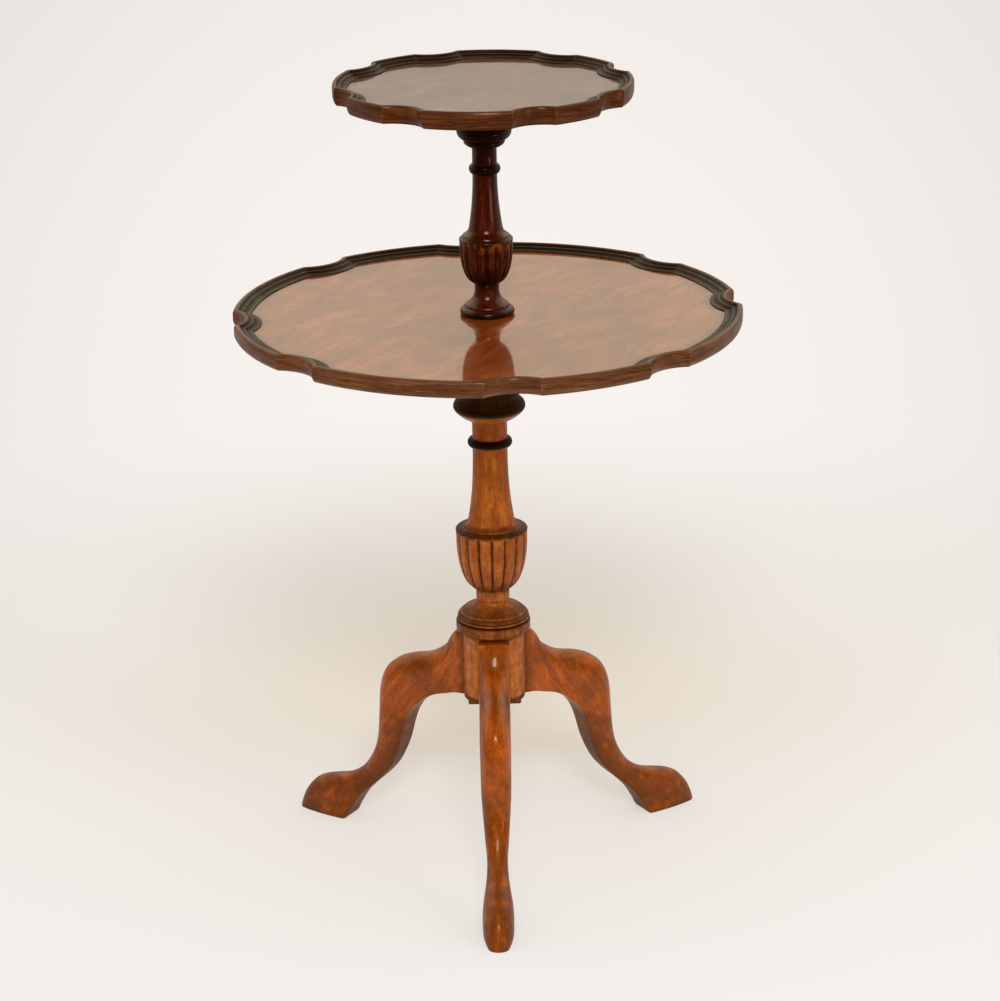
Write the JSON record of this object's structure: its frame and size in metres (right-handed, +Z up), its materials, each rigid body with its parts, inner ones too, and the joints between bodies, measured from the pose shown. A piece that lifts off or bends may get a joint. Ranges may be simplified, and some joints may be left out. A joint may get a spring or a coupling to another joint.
{
  "type": "two-tier side table",
  "caption": "Round side table with a large and a small shaped tray, moulded rims, a gadrooned turned column and cabriole legs.",
  "frame": {"origin": "on the column's axis at floor level, between the feet", "axes": "+Z up along the column, -Y along the front leg towards the viewer, +X to the viewer's right"},
  "size_m": [0.58, 0.58, 0.9376],
  "materials": {
    "turned_column": "polished hardwood, honey brown, stained dark in the carving and on its collars",
    "upper_column": "polished hardwood, dark red-brown",
    "legs": "polished hardwood, reddish brown, mottled",
    "rim_moulding": "waxed hardwood moulding, dark brown with worn edges",
    "figured_veneer": "figured veneer, polished, slightly bleached by light",
    "board_core": "plain softwood, unpolished",
    "hidden_hardwood": "stained hardwood, unpolished",
    "dowel": "plain hardwood dowel",
    "screws": "dull old brass"
  },
  "bodies": {
    "root": {"lower_stem": "turned_column", "block_pad": "hidden_hardwood", "block_pad_screw": "screws", "leg_front": "legs", "leg_left": "legs", "leg_right": "legs", "lower_cleat": "hidden_hardwood", "lower_cleat_screws": "screws", "lower_board": "board_core", "lower_veneer": "figured_veneer", "stem_dowel": "dowel", "upper_stem": "upper_column", "upper_cleat": "hidden_hardwood", "upper_cleat_screws": "screws", "upper_board": "board_core", "upper_veneer": "figured_veneer", "lower_rim_long_1": "rim_moulding", "lower_rim_long_2": "rim_moulding", "lower_rim_long_3": "rim_moulding", "lower_rim_long_4": "rim_moulding", "lower_rim_short_1": "rim_moulding", "lower_rim_short_2": "rim_moulding", "lower_rim_short_3": "rim_moulding", "lower_rim_short_4": "rim_moulding", "lower_rim_scoop_1": "rim_moulding", "lower_rim_scoop_2": "rim_moulding", "lower_rim_scoop_3": "rim_moulding", "lower_rim_scoop_4": "rim_moulding", "lower_rim_scoop_5": "rim_moulding", "lower_rim_scoop_6": "rim_moulding", "lower_rim_scoop_7": "rim_moulding", "lower_rim_scoop_8": "rim_moulding", "upper_rim_long_1": "rim_moulding", "upper_rim_long_2": "rim_moulding", "upper_rim_long_3": "rim_moulding", "upper_rim_long_4": "rim_moulding", "upper_rim_short_1": "rim_moulding", "upper_rim_short_2": "rim_moulding", "upper_rim_short_3": "rim_moulding", "upper_rim_short_4": "rim_moulding", "upper_rim_scoop_1": "rim_moulding", "upper_rim_scoop_2": "rim_moulding", "upper_rim_scoop_3": "rim_moulding", "upper_rim_scoop_4": "rim_moulding", "upper_rim_scoop_5": "rim_moulding", "upper_rim_scoop_6": "rim_moulding", "upper_rim_scoop_7": "rim_moulding", "upper_rim_scoop_8": "rim_moulding"}
  },
  "joints": []
}
